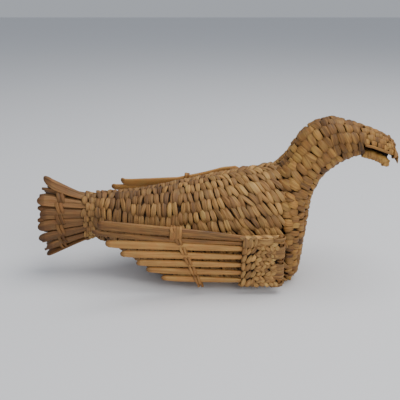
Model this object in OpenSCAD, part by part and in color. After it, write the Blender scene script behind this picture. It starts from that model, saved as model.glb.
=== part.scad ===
// Woven leaf bird: a hollow plaited body and neck over long stakes, a flared
// tail of folded leaves and two feathered wings lashed on at the shoulders.
// +X runs from tail to beak, +Z is up, and the bird stands on z = 0.

/* [Body] */
// Half width of the body at its widest
body_half_w = 35; // [31:0.5:37]
// Height of the back where the neck rises
shoulder_h = 96.5; // [93:0.5:102]
// Distance of the tail's root behind the origin
tail_root_x = -97; // [-100:1:-94]
// Thickness of the woven wall
wall = 3; // [2.4:0.1:3.6]
// Boxiness of the body's section, 1 for an ellipse
boxiness = 0.86; // [0.8:0.01:1]

/* [Neck and head] */
// Half width of the neck behind the head
neck_half_w = 16.5; // [15:0.5:18]
// Height of the crown
crown_h = 134.2; // [130:0.2:138]
// Forward reach of the beak's tip
beak_x = 145.2; // [142:0.2:149]

/* [Tail] */
// Folded leaves round the tail
tail_leaves = 14; // [12:1:14]
// Backward reach of the longest tail leaf
tail_tip_x = -145.3; // [-150:0.1:-143]
// Half height of the flare at its tips
tail_flare_h = 31; // [28:1:34]
// Half width of the flare at its tips
tail_flare_w = 15; // [12:1:20]

/* [Wings] */
// Feathers in each wing
feathers = 6; // [5:1:6]
// Height of the woven shoulder patch
patch_h = 43.5; // [43:0.5:46]
// Length of the shoulder patch
patch_l = 27; // [24:0.5:30]
// Thickness of the shoulder patch
patch_t = 4.6; // [4.2:0.1:5]
// Outward flare of a resting wing, in degrees
wing_flare = 2; // [1:0.5:4]
// Radius of the hinge stake
stake_r = 1.6; // [1.4:0.1:1.8]
// Running clearance between the hinge stake and a lashing
hinge_gap = 0.06; // [0.03:0.01:0.09]

/* [Hidden] */
ring_n = 32;            // points round a woven section
body_stake_n = 14;      // stakes under the weave
body_stake_r = 1.1;
lash_r = 0.85;          // radius of a lashing's cord
lash_z = [6, 22.5, 39]; // heights of the lashings up the hinge stake
knuckle_gap = 0.45;     // room above and below each lashing
knuckle_r = 3.2;
straw = "#b08a4e";
straw_dark = "#8f6a36";
straw_pale = "#c29c5e";

// [x, lowest z, highest z, half width]: the body, from tail root to shoulder
body_stations = [
    [tail_root_x, 33, 72, 16.5],
    [-80, 25, 72.5, 20],
    [-62, 12, 74, 25.5],
    [-38, -1, 78.5, 31],
    [-12, -4, 84, body_half_w - 1],
    [20, -5, 90.5, body_half_w],
    [40, -5, 94.5, body_half_w - 0.5]];

// [back x, back z, breast x, breast z, half width]: the fan of sections from
// the shoulder round the breast and up the neck to the mouth
neck_stations = [
    [49, shoulder_h, 58.5, -6, body_half_w - 1.5],
    [50.5, shoulder_h + 1, 68.5, 3, body_half_w - 2.5],
    [52, shoulder_h + 2.3, 72.6, 30, body_half_w - 4.5],
    [54, shoulder_h + 4, 75.5, 54, 27],
    [57, shoulder_h + 7, 78, 71.5, 22.5],
    [61, shoulder_h + 14, 84.5, 86, 19],
    [68, crown_h - 12.4, 92.5, 94.2, 17.5],
    [78, crown_h - 3, 100.3, 100, neck_half_w + 0.5],
    [90, crown_h, 107.5, 103.3, neck_half_w],
    [102, crown_h - 1.6, 113, 105.6, neck_half_w - 0.7],
    [114.5, crown_h - 4, 118, 106.5, neck_half_w - 1.5]];

// [x at the lip, roof height, lip height, half width, lean]: the upper beak,
// whose sections lean back by the last figure between lip and roof
beak_stations = [
    [116.4, 129.6, 113.9, 14.8, 2.4],
    [123, 127.4, 112.2, 13.8, 1.8],
    [131, 124, 109.2, 12.4, 1],
    [137.5, 119.6, 106.6, 10.6, 0],
    [142, 113.4, 104.6, 8, 0],
    [beak_x, 105.8, 101.5, 4.5, 0]];

// [x, top, underside, half width]: the lower beak
jaw_stations = [
    [117.2, 109.9, 105, 12.6],
    [124, 107.9, 103, 12],
    [130, 105.4, 100.6, 10.6],
    [136, 102.4, 97.4, 8.6],
    [138.6, 100.8, 97.2, 6]];

// right wing, bottom feather first: [tip x, tip height, mid height of the leaf]
right_tips = [
    [-43.5, 15.6, 5.6],
    [-55, 23.3, 5.8],
    [-62.5, 29.6, 6.4],
    [-74.5, 37.8, 7],
    [-85.5, 47.2, 7.8],
    [-98, 61.5, 13]];
// the left wing sits higher on the back and its feathers drop to the rear
left_tips = [
    [-50, 32, 5.8],
    [-58, 38, 6],
    [-68, 44, 6.6],
    [-79, 51, 7.2],
    [-93, 58.5, 7.2],
    [-84, 68, 8]];
// [hinge x, hinge y, foot of the hinge stake, lean]: where each wing is lashed on
right_hinge = [50.5, -39, 7.5, -4];
left_hinge = [46, 43.5, 38.5, 10];

// ---------- curves and closed surfaces ----------

// Catmull-Rom value through four rows at t
function spline4(a, b, c, d, t) =
    0.5 * (2 * b + (c - a) * t + (2 * a - 5 * b + 4 * c - d) * t * t
           + (3 * b - a - 3 * c + d) * t * t * t);
// a station table made finer, with steps spans between rows
function refine(rows, steps) = let (last = len(rows) - 1) [
    for (i = [0:last - 1], k = [0:steps - 1])
        spline4(rows[max(i - 1, 0)], rows[i], rows[i + 1], rows[min(i + 2, last)], k / steps),
    rows[last]];
function signed_power(v, p) = sign(v) * pow(abs(v), p);

// triangles of one skin between rings of n points; closed rings wrap round
function skin(rings, n, from, wraps, flip) = [
    for (r = [0:rings - 2], i = [0:n - (wraps ? 1 : 2)])
        let (a = from + r * n + i, b = from + r * n + (i + 1) % n, c = a + n, d = b + n)
        each flip ? [[a, b, d], [a, d, c]] : [[a, d, b], [a, c, d]]];
// quads, as triangles, between two rows of points
function strip(row_a, row_b, flip) = [
    for (i = [0:len(row_a) - 2])
        let (a = row_a[i], b = row_a[i + 1], c = row_b[i], d = row_b[i + 1])
        each flip ? [[a, b, d], [a, d, c]] : [[a, d, b], [a, c, d]]];
function flat_list(rings) = [for (r = rings) each r];

function mean_point(ring) = [for (k = [0:2]) [for (p = ring) p[k]] * [for (p = ring) 1 / len(ring)]];
// whether rings turn clockwise along their run, so their faces need turning over
function clockwise(rings) =
    let (start = mean_point(rings[0]), run = mean_point(rings[len(rings) - 1]) - start)
    cross(rings[0][0] - start, rings[0][1] - start) * run < 0;

// a wall between an outer and an inner set of rings; open rings end in two lips
module walled(outer, inner, wraps = true) {
    n = len(outer[0]);
    m = len(outer);
    second = n * m;
    flip = clockwise(outer);
    round_row = function (base) [for (i = [0:n - (wraps ? 0 : 1)]) base + i % n];
    along_row = function (base) [for (r = [0:m - 1]) base + r * n];
    faces = concat(
        skin(m, n, 0, wraps, flip),
        skin(m, n, second, wraps, !flip),
        strip(round_row(0), round_row(second), !flip),
        strip(round_row(second - n), round_row(2 * second - n), flip),
        wraps ? [] : strip(along_row(0), along_row(second), flip),
        wraps ? [] : strip(along_row(n - 1), along_row(second + n - 1), !flip));
    polyhedron(flat_list(concat(outer, inner)), faces, convexity = 6);
}

// solids lofted from rings, one solid for each set of rings
function cap(ring_base, n, apex, flip) = [
    for (i = [0:n - 1])
        let (a = ring_base + i, b = ring_base + (i + 1) % n)
        flip ? [a, b, apex] : [b, a, apex]];
module lofts(sets) {
    n = len(sets[0][0]);
    m = len(sets[0]);
    each_n = n * m + 2;
    flip = clockwise(sets[0]);
    points = [for (s = sets) each concat(flat_list(s), [mean_point(s[0]), mean_point(s[m - 1])])];
    faces = [for (k = [0:len(sets) - 1]) let (base = k * each_n) each concat(
        skin(m, n, base, true, flip),
        cap(base, n, base + n * m, !flip),
        cap(base + n * (m - 1), n, base + n * m + 1, flip))];
    polyhedron(points, faces, convexity = 6);
}

// ---------- sections of the bird ----------

// a point of a body section, inset from its outside, at angle t from the back
function body_point(s, inset, t, low) =
    let (half_h = (s[2] - s[1]) / 2)
    [s[0], (s[3] - inset) * signed_power(sin(t), boxiness),
     max(low, (s[1] + s[2]) / 2 + (half_h - inset) * signed_power(cos(t), boxiness))];
// the same for a fan section, which runs from the back of the neck to the breast
function neck_point(s, inset, t, low) =
    let (half = [(s[0] - s[2]) / 2, (s[1] - s[3]) / 2],
         reach = norm(half),
         k = (reach - inset) / reach * signed_power(cos(t), boxiness))
    [(s[0] + s[2]) / 2 + half[0] * k, (s[3 + 1] - inset) * signed_power(sin(t), boxiness),
     max(low, (s[1] + s[3]) / 2 + half[1] * k)];
ring_angles = [for (i = [0:ring_n - 1]) i * 360 / ring_n];
body_rows = concat(refine(body_stations, 2));
neck_rows = refine(neck_stations, 2);
function neck_as_last_body(inset, low) = [for (t = ring_angles) neck_point(neck_stations[0], inset, t, low)];
function body_rings(inset, low) = concat(
    [for (s = body_rows) [for (t = ring_angles) body_point(s, inset, t, low)]],
    [neck_as_last_body(inset, low)]);
function neck_rings(inset, low) =
    [for (s = neck_rows) [for (t = ring_angles) neck_point(s, inset, t, low)]];

// an elliptical ring in the plane spanned by u and v
function oval(centre, u, v, n) = [
    for (i = [0:n - 1]) let (f = i * 360 / n) centre + u * cos(f) + v * sin(f)];

module body_weave() {
    color(straw) walled(body_rings(0, 0), body_rings(wall, wall));
}

// stakes run along the inside of the wall and bite into it a little
stake_inset = wall + body_stake_r - 0.15;
stake_angles = [for (i = [0:body_stake_n - 1]) (i + 0.5) * 360 / body_stake_n];
module body_stakes() {
    rows = [for (i = [3:len(body_rows) - 1]) body_rows[i]];
    u = [0, body_stake_r, 0];
    v = [0, 0, body_stake_r];
    color(straw_dark) lofts([for (t = stake_angles)
        [for (s = rows) oval(body_point(s, stake_inset, t, stake_inset), u, v, 6)]]);
}

module neck_weave() {
    color(straw) walled(neck_rings(0, 0), neck_rings(wall, wall));
}

module neck_stakes() {
    rows = [for (i = [1:len(neck_stations) - 2]) neck_stations[i]];
    u = [0, body_stake_r, 0];
    color(straw_dark) lofts([for (t = stake_angles)
        [for (s = rows)
            let (half = [s[0] - s[2], 0, s[1] - s[3]], v = half / norm(half) * body_stake_r)
            oval(neck_point(s, stake_inset, t, stake_inset), u, v, 6)]]);
}

// an arch from lip to lip, inset from the roof's outside
function arch(s, inset) = [for (i = [0:16]) let (f = -90 + i * 180 / 16)
    [s[0] - s[4] * cos(f), (s[3] - inset) * sin(f), s[2] + (s[1] - s[2] - inset) * cos(f)]];
module upper_beak() {
    rows = refine(beak_stations, 2);
    skin_t = 2.2;
    color(straw) walled([for (s = rows) arch(s, 0)], [for (s = rows) arch(s, skin_t)], false);
}

function jaw_ring(s) = [for (i = [0:11]) let (f = i * 30)
    [s[0], s[3] * signed_power(sin(f), 0.7),
     (s[1] + s[2]) / 2 + (s[1] - s[2]) / 2 * signed_power(cos(f), 0.7)]];
module lower_beak() {
    color(straw) lofts([[for (s = refine(jaw_stations, 2)) jaw_ring(s)]]);
}

// the leaf strip bound along the outside of each upper lip
module mouth_binding() {
    half_t = 0.55;
    rows = refine([for (i = [0:3]) beak_stations[i]], 2);
    color(straw_pale) lofts([for (side = [-1, 1])
        [for (s = rows)
            oval([s[0] + 0.5, side * (0.99 * s[3] + half_t - 0.2), s[2] + 1.7], [0, 0, 1.6], [0, half_t, 0], 8)]]);
}

// the leaf ends turned back and knotted at the two tips
module beak_tip_knot() {
    color(straw_dark) translate([beak_x - 0.4, 0, 103.7]) rotate([0, 90, 0])
        cylinder(h = 1.8, r = 2.3, $fn = 48);
}
module jaw_tip_knot() {
    color(straw_dark) translate([138.2, 0, 99]) rotate([0, 90, 0])
        cylinder(h = 2, r = 1.7, $fn = 48);
}

// ---------- tail ----------

// how far the flare has opened at x, from 0 at the root to 1 at the tips
function flare(x) = pow(max(0, (tail_root_x - x) / (tail_root_x - tail_tip_x)), 1.1);
function tail_z(x) = 52.5 - 5 * flare(x); // the flare hangs a little
root_half_w = 16.5 - wall - 0.6;
root_half_h = 19.5 - wall - 0.6;
function tail_a(x) = root_half_w + (tail_flare_w - root_half_w) * flare(x);
function tail_b(x) = root_half_h + (tail_flare_h - root_half_h) * flare(x);
// even spacing on the tall oval of the tips
function tail_angle(i) = let (u = (0.5 - i) * 360 / tail_leaves) u + 7 * sin(2 * u);
// [share of the length, leaf width, leaf thickness]
leaf_shape = [[0, 4.4, 1.8], [0.16, 4.9, 2], [0.45, 7, 2.2], [0.8, 9, 2.3], [0.94, 7.6, 2], [1, 4, 1.2]];
module tail_leaf(i) {
    t = tail_angle(i);
    lift = i == 1 ? 12 : 0; // the first leaf is bent away from the others
    twist = i == 1 ? 50 : 0; // and turned to show its face
    tip_x = tail_tip_x + 4 * (1 + cos(t * 2)) / 2 + 2 * sin(i * 137);
    root_x = tail_root_x + 9;
    color(i % 2 == 0 ? straw : straw_pale) lofts([[for (s = leaf_shape)
        let (x = root_x + (tip_x - root_x) * s[0],
             a = tail_a(x),
             b = tail_b(x),
             turn = twist * flare(x),
             along = [0, a * cos(t), -b * sin(t)] / norm([a * cos(t), b * sin(t)]),
             out = [0, b * sin(t), a * cos(t)] / norm([b * sin(t), a * cos(t)]),
             wide = along * cos(turn) + out * sin(turn),
             thick = out * cos(turn) - along * sin(turn),
             centre = [x, a * sin(t), tail_z(x) + b * cos(t) + lift * pow(flare(x), 2)])
        oval(centre, wide * s[1] / 2, thick * s[2] / 2, 10)]]);
}

function tail_ring(x, grow) = [for (t = ring_angles)
    [x, (tail_a(x) + grow) * sin(t), tail_z(x) + (tail_b(x) + grow) * cos(t)]];
module tail_twining() {
    at = [-128, -126.6, -125.2];
    color(straw_dark) walled([for (x = at) tail_ring(x, 2.4)], [for (x = at) tail_ring(x, 1)]);
}
module tail_root_wrap() {
    at = [tail_root_x - 5.2, tail_root_x - 2.7, tail_root_x - 0.2];
    color(straw_dark) walled([for (x = at) tail_ring(x, 2.8)], [for (x = at) tail_ring(x, 0.85)]);
}

// ---------- wings ----------

// a wing is drawn about its own hinge stake, which stands on the local Z axis
module at_hinge(h, side) {
    translate([h[0], h[1], h[2]]) rotate([side * h[3], 0, 0]) children();
}
module flared(side) {
    rotate([0, 0, -side * wing_flare]) children();
}
module wing_stake(h, side) {
    color(straw_dark) at_hinge(h, side)
        translate([0, 0, -1]) cylinder(h = patch_h + 2, r = stake_r, $fn = 48);
}

// the patch is woven round the stake, and left open where a lashing passes
module wing_patch(h, side) {
    ends = concat([0], [for (z = lash_z) each [z - lash_r - knuckle_gap, z + lash_r + knuckle_gap]], [patch_h]);
    color(straw) at_hinge(h, side) flared(side) difference() {
        union() {
            translate([-4 - patch_l, -patch_t / 2, 0]) cube([patch_l, patch_t, patch_h]);
            for (k = [0:len(lash_z)]) translate([0, 0, ends[2 * k]]) {
                span = ends[2 * k + 1] - ends[2 * k];
                cylinder(h = span, r = knuckle_r, $fn = 48);
                translate([-5, -patch_t / 2, 0]) cube([5, patch_t, span]);
            }
        }
        translate([0, 0, -1]) cylinder(h = patch_h + 2, r = stake_r, $fn = 48);
    }
}

// loops of leaf from the body round the hinge stake, one for each lashing height
module wing_lashings(h, side, reach) {
    ring_r = stake_r + hinge_gap + lash_r;
    color(straw_pale) at_hinge(h, side) for (k = [0:len(lash_z) - 1]) translate([0, 0, lash_z[k]]) {
        rotate_extrude($fn = 48) translate([ring_r, 0]) circle(r = lash_r, $fn = 24);
        rotate([side * 90, 0, 0]) translate([0, 0, ring_r]) cylinder(h = reach[k] - ring_r, r = lash_r, $fn = 24);
    }
}

// [share of the length, share of the leaf's height, thickness]
feather_shape = [[0, 0.62, 2], [0.1, 0.68, 2.1], [0.35, 0.92, 2.4], [0.7, 1.04, 2.4], [0.94, 0.95, 2], [1, 0.5, 1.2]];
feather_in = 9; // length held in the patch
module wing_feather(h, side, tips, i, bow) {
    root = [-4 - patch_l + feather_in, 0, 4 + (i - 1) * 7.15];
    tip = [tips[i - 1][0] - h[0], 0, tips[i - 1][1] - h[2]];
    tall = tips[i - 1][2];
    color(i % 2 == 0 ? straw : straw_pale) at_hinge(h, side) flared(side)
        lofts([[for (s = feather_shape)
            oval(root + (tip - root) * s[0] + [0, 0, bow * sin(180 * s[0])],
                 [0, 0, tall / 2 * s[1]], [0, s[2] / 2, 0], 10)]]);
}

// a loop twined round all the feathers, leaning forward towards its foot
module wing_twining(h, side, top, foot) {
    run = top - foot;
    length = norm(run);
    band_w = 3;
    color(straw_dark) at_hinge(h, side) flared(side)
        translate([foot[0], 0, foot[1]]) rotate([0, atan2(run[0], run[1]), 0])
        translate([band_w / 2, 0, length / 2]) rotate([0, -90, 0])
        linear_extrude(band_w) difference() {
            square([length, 4.6], center = true);
            square([length - 2.4, 2.3], center = true);
        }
}

// ---------- the assembly ----------

body_weave();
body_stakes();
neck_weave();
neck_stakes();
upper_beak();
lower_beak();
mouth_binding();
beak_tip_knot();
jaw_tip_knot();
tail_twining();
tail_root_wrap();
for (i = [1:tail_leaves])
    tail_leaf(i);

wing_lashings(right_hinge, -1, [12.5, 9.5, 9.5]);  // right_wing_lashings
wing_stake(right_hinge, -1);  // right_wing_stake
wing_patch(right_hinge, -1);  // right_wing_patch
wing_twining(right_hinge, -1, [-85, 55.2], [-63, 1.5]);  // right_wing_twining
for (i = [1:feathers])
    wing_feather(right_hinge, -1, right_tips, i, 0);

wing_lashings(left_hinge, 1, [10, 8.5, 9]);  // left_wing_lashings
wing_stake(left_hinge, 1);  // left_wing_stake
wing_patch(left_hinge, 1);  // left_wing_patch
wing_twining(left_hinge, 1, [-72, 42.5], [-60, -4]);  // left_wing_twining
for (i = [1:feathers])
    wing_feather(left_hinge, 1, left_tips, i, 2.5);
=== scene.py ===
"""The looks of the woven leaf bird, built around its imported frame. Metres throughout."""
import math
import bpy
import numpy as np
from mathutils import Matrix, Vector
from mathutils.bvhtree import BVHTree


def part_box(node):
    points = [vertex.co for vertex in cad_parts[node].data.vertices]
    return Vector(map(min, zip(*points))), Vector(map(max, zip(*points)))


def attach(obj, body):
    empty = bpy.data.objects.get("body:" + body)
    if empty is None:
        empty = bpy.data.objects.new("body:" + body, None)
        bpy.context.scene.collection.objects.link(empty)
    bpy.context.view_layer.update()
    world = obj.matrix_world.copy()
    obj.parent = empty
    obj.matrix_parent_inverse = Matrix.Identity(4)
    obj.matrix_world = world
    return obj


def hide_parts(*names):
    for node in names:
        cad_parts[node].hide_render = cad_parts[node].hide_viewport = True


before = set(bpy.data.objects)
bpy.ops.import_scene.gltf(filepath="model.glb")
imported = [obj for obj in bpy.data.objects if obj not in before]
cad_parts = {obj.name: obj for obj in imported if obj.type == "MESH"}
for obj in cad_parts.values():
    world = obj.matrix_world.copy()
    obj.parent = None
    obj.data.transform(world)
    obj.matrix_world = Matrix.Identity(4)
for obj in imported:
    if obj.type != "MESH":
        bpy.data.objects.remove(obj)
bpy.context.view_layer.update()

MM = 0.001
rng = np.random.default_rng(7)


# ---------- piles of strands that become one mesh ----------

def unit(v):
    return v / np.maximum(np.linalg.norm(v, axis=-1, keepdims=True), 1e-12)


def signed_power(v, p):
    return np.sign(v) * np.abs(v) ** p


def xyz(x, y, z):
    """Points from coordinates, any of which may be one number for them all."""
    return np.stack(np.broadcast_arrays(x, y, z), axis=-1)


def full_turn(count):
    """Angles evenly round a circle."""
    return np.linspace(0, 2 * math.pi, count, endpoint=False)


class Pile:
    """Closed tubes gathered into one mesh, with the attributes the materials read.

    grain runs along a strand (x), across it (y) and differs from strand to strand (z);
    tone is a strand's own lightness, and edge is 1 where it dives under its neighbours, where the materials
    paint shade on it.
    """

    def __init__(self):
        self.verts, self.quads, self.caps = [], [], []
        self.grain, self.tone, self.edge = [], [], []
        self.count = 0

    def tube(self, rings, tone, edge, closed=False):
        """Adds a tube from rings of points, an array (rings, points, 3), with end caps unless closed."""
        n_rings, n = rings.shape[:2]
        base = self.count
        steps = np.linalg.norm(np.diff(rings.mean(axis=1), axis=0), axis=1)
        along = np.concatenate([[0], np.cumsum(steps)])
        around = np.linspace(0, 1, n, endpoint=False)
        size = np.linalg.norm(rings[n_rings // 2, 0] - rings[n_rings // 2, n // 2])
        grain = np.zeros((n_rings, n, 3))
        grain[:, :, 0] = along[:, None]
        grain[:, :, 1] = (np.abs(around - 0.5) * 2 * size * 1.3)[None, :]
        grain[:, :, 2] = rng.uniform(0, 50)
        self.verts.append(rings.reshape(-1, 3))
        self.grain.append(grain.reshape(-1, 3))
        self.tone.append(np.full(n_rings * n, tone))
        self.edge.append(np.repeat(np.broadcast_to(edge, (n_rings,)), n))
        last = n_rings if closed else n_rings - 1
        r = np.arange(last)[:, None]
        i = np.arange(n)[None, :]
        a = r * n + i
        b = r * n + (i + 1) % n
        c = ((r + 1) % n_rings) * n + (i + 1) % n
        d = ((r + 1) % n_rings) * n + i
        self.quads.append(np.stack([a, b, c, d], axis=-1).reshape(-1, 4) + base)
        if not closed:
            self.caps.append((np.arange(n)[::-1] + base).tolist())
            self.caps.append((np.arange(n) + base + (n_rings - 1) * n).tolist())
        self.count += n_rings * n

    def build(self, name, material, body, slot, *replaced):
        verts = np.concatenate(self.verts)
        verts[:, 2] = np.maximum(verts[:, 2], 0.15 * MM)  # nothing pokes below the table
        quads = np.concatenate(self.quads)
        mesh = bpy.data.meshes.new(name)
        corners = np.concatenate([quads.ravel()] + [np.array(c) for c in self.caps])
        sizes = np.concatenate([np.full(len(quads), 4), [len(c) for c in self.caps]]).astype(np.int32)
        starts = np.concatenate([[0], np.cumsum(sizes)[:-1]]).astype(np.int32)
        mesh.vertices.add(len(verts))
        mesh.vertices.foreach_set("co", verts.astype(np.float32).ravel())
        mesh.loops.add(len(corners))
        mesh.loops.foreach_set("vertex_index", corners.astype(np.int32))
        mesh.polygons.add(len(sizes))
        mesh.polygons.foreach_set("loop_start", starts)
        mesh.polygons.foreach_set("loop_total", sizes)
        mesh.polygons.foreach_set("use_smooth", np.ones(len(sizes), dtype=bool))
        mesh.update(calc_edges=True)
        mesh.validate()
        grain = mesh.attributes.new("grain", "FLOAT_VECTOR", "POINT")
        grain.data.foreach_set("vector", np.concatenate(self.grain).astype(np.float32).ravel())
        for key, values in (("tone", self.tone), ("edge", self.edge)):
            layer = mesh.attributes.new(key, "FLOAT", "POINT")
            layer.data.foreach_set("value", np.concatenate(values).astype(np.float32))
        mesh.materials.append(material)
        piece = bpy.data.objects.new(name, mesh)
        bpy.context.scene.collection.objects.link(piece)
        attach(piece, body)
        if replaced:
            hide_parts(*replaced)
        return piece


# ---------- surfaces that strands are laid on ----------

def node_tree(name):
    """A ray-cast tree over the outside of a CAD node."""
    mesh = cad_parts[name].data
    return BVHTree.FromPolygons([v.co for v in mesh.vertices], [p.vertices for p in mesh.polygons])


def node_points(name):
    """The corners of a CAD node, in metres."""
    return np.array([tuple(v.co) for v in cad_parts[name].data.vertices])


def evenly(points, count):
    """The line through points, resampled to count + 1 points evenly along its run."""
    points = np.asarray(points, dtype=float)
    gaps = np.linalg.norm(np.diff(points, axis=0), axis=1)
    run = np.concatenate([[0], np.cumsum(gaps)])
    want = np.linspace(0, run[-1], count + 1)
    return xyz(*(np.interp(want, run, points[:, k]) for k in range(3)))


def section(tree, centre, up, angles, reach=90 * MM):
    """Where rays cast inward in the plane of up and Y meet the outside, one for each angle."""
    side = Vector((0, 1, 0))
    hits = []
    for angle in angles:
        d = up * math.cos(angle) + side * math.sin(angle)
        hit = tree.ray_cast(centre + d * reach, -d, reach)[0]
        if hit is not None:
            hits.append(hit)
    return hits


def smooth_rows(rows, times=2):
    """Evens out the facets along u, with the first and last rows kept."""
    rows = rows.copy()
    for _ in range(times):
        rows[1:-1] = (rows[:-2] + 2 * rows[1:-1] + rows[2:]) / 4
    return rows


class Sheet:
    """A grid of points, read as a smooth surface: u counts rows, and v runs from 0 to 1 across them.

    Rows from wraps_from on close round on themselves. The grid is turned round if its normals don't look
    along outward.
    """

    def __init__(self, rows, outward=None, wraps_from=0):
        self.rows = np.asarray(rows)
        self.wraps_from = wraps_from
        if outward is not None:
            u, v = (len(self.rows) - 1) / 2, 0.5
            if np.dot(self.frame(np.array([u]), np.array([v]))[1][0], outward) < 0:
                self.rows = self.rows[:, ::-1]

    def point(self, u, v):
        k, m = self.rows.shape[0], self.rows.shape[1] - 1
        u = np.asarray(u, dtype=float)
        v = np.asarray(v, dtype=float)
        extra = (u - np.clip(u, 0, k - 1))[..., None]
        u = np.clip(u, 0, k - 1)
        v = np.where(u >= self.wraps_from, v % 1.0, np.clip(v, 0, 1))
        i = np.minimum(u.astype(int), k - 2)
        j = np.minimum((v * m).astype(int), m - 1)
        fu = (u - i)[..., None]
        fv = (v * m - j)[..., None]
        g = self.rows
        near = g[i, j] * (1 - fv) + g[i, j + 1] * fv
        far = g[i + 1, j] * (1 - fv) + g[i + 1, j + 1] * fv
        return near * (1 - fu) + far * fu + extra * (far - near)

    def frame(self, u, v):
        """Points, outward normals, and the sizes of one row and of the whole of v."""
        e, f = 0.7, 1.2 / (self.rows.shape[1] - 1)
        du = (self.point(u + e, v) - self.point(u - e, v)) / (2 * e)
        dv = (self.point(u, v + f) - self.point(u, v - f)) / (2 * f)
        normal = unit(np.cross(dv, du))
        return self.point(u, v), normal, np.linalg.norm(du, axis=-1), np.linalg.norm(dv, axis=-1)


AROUND = full_turn(16)


def strand_rings(centre, normal, half_w, half_t, ridges=0.0, phase=0.0, flat=0.72, closed=False):
    """Rings round a flat strand whose broad face looks along normal; a closed one meets its own start."""
    if closed:
        along = unit(np.roll(centre, -1, axis=0) - np.roll(centre, 1, axis=0))
    else:
        along = unit(np.gradient(centre, axis=0))
    side = unit(np.cross(normal, along))
    up = np.cross(along, side)
    c, s = np.cos(AROUND), np.sin(AROUND)
    wide = signed_power(c, flat)
    thick = signed_power(s, 0.85 if closed else 0.75) * (1 + ridges * np.cos(3.6 * math.pi * c + phase))
    half_w = np.broadcast_to(half_w, centre.shape[:1])
    half_t = np.broadcast_to(half_t, centre.shape[:1])
    return (centre[:, None, :]
            + side[:, None, :] * (half_w[:, None] * wide[None, :])[..., None]
            + up[:, None, :] * (half_t[:, None] * thick[None, :])[..., None])


def random_tone(middle, spread):
    """A strand's own lightness, from 0 to 1."""
    return float(np.clip(rng.normal(middle, spread), 0, 1))


def loop(pile, line, out, half_w, half_t):
    """A strand bent into a closed loop, its broad face turned outwards; half sizes in mm."""
    rings = strand_rings(line, unit(out), half_w * MM, half_t * MM, closed=True)
    pile.tube(rings, random_tone(0.5, 0.1), 0.1, closed=True)


# places along a stitch, from one end to the other
STATIONS = np.linspace(-1, 1, 11)
# how stitches vary: length over the stakes' spacing, width over the row, and now and then a broad one
STITCH_LENGTH = (1.28, 1.55)
STITCH_WIDTH = (0.86, 1.14)
BROAD, BROAD_CHANCE, BROAD_LIFT = 1.4, 0.04, 0.5 * MM
STITCH_LIFT = (0.0, 0.5)
# rows spread wider than this many pitches take several layers of stitches
SPREAD_ROWS = 1.45


def stitch(pile, sheet, u0, v0, length, width, angle, lift, dive, tone, thick=None, loose=1.0, taper=0.34):
    """One weft strand passing over a stake, its ends diving below the surface.

    It lies across the rows at angle 0, and a positive angle turns its far end up the rows. Its middle
    stands lift above the sheet and its ends dive below it; taper is how wide the ends are.
    """
    s = STATIONS
    _, _, row_size, whole = sheet.frame(np.array([u0]), np.array([v0]))
    half = length / 2
    if u0 < sheet.wraps_from:
        # a strand by an open edge stays on the sheet
        margin = 0.95 * half * abs(math.cos(angle)) / whole[0]
        v0 = min(max(v0, margin), 1 - margin)
    v = v0 + s * half * math.cos(angle) / whole[0]
    u = u0 + s * half * math.sin(angle) / row_size[0]
    point, normal, _, _ = sheet.frame(u, v)
    height = lift - (lift + dive) * np.abs(s) ** 2.6
    centre = point + normal * height[:, None]
    along = unit(np.gradient(centre, axis=0))
    bend = rng.uniform(-0.2, 0.2) * width * loose
    centre = centre + np.cross(normal, along) * (bend * (1 - s * s))[:, None]
    half_w = width / 2 * (taper + (1 - taper) * (1 - np.abs(s) ** 2.2) ** 0.8)
    half_t = (thick or rng.uniform(0.95, 1.2) * MM) * (0.6 + 0.4 * (1 - s * s))
    roll = (rng.uniform(-0.3, 0.3) + rng.uniform(-0.2, 0.2) * s) * loose
    normal = unit(normal + np.cross(along, normal) * roll[:, None])
    rings = strand_rings(centre, normal, half_w, half_t, rng.uniform(0.08, 0.3), rng.uniform(0, 6.28))
    # painted shade on the ends, where they dive under their neighbours
    pile.tube(rings, tone, np.abs(s) ** 2.5)


def weave(piles, sheet, columns, angle_at=None, rows=None, dive=2.1 * MM, thick=None, full=2.0, loose=1.0,
          taper=0.34, shade=0.52, pitch=None):
    """Plain weave over a sheet: on each row every other column shows a stitch.

    full is a stitch's width over its row, so that rows overlap; loose scales how uneven the stitches are.
    Where the rows spread wider than pitch, several stitches share the gap.
    """
    first, last = rows or (0, len(sheet.rows))
    for k in range(first, last):
        for j in range(columns):
            if (j + k) % 2:
                continue
            v0 = (j + 0.5 + rng.uniform(-0.05, 0.05)) / columns
            u0 = k + rng.uniform(-0.1, 0.1)
            _, _, row_size, whole = sheet.frame(np.array([u0]), np.array([v0]))
            layers = 1
            if pitch and row_size[0] > SPREAD_ROWS * pitch:
                layers = round(row_size[0] / pitch)
            for layer in range(layers):
                broad = BROAD if layers == 1 and rng.random() < BROAD_CHANCE else 1.0
                length = whole[0] / columns * rng.uniform(*STITCH_LENGTH) * (0.5 + 0.5 * broad)
                width = row_size[0] / layers * full * rng.uniform(*STITCH_WIDTH) * broad
                angle = rng.normal(0, 0.12) + (angle_at(k, j) if angle_at else 0.0)
                tone = random_tone(shade, 0.1)
                # every other layer is set off from the sheet's edge
                sideways = (layer % 2) * 0.8 / columns * (1 if v0 < 0.5 else -1)
                u, v = u0 + (layer + 0.5) / layers - 0.5, v0 + sideways
                lift = rng.uniform(*STITCH_LIFT) * loose * MM + (BROAD_LIFT if broad > 1 else 0)
                stitch(piles[k % len(piles)], sheet, u, v, length / math.cos(angle), width, angle, lift,
                       dive, tone, thick, loose, taper)


LINING_THICK = 0.8 * MM


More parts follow.
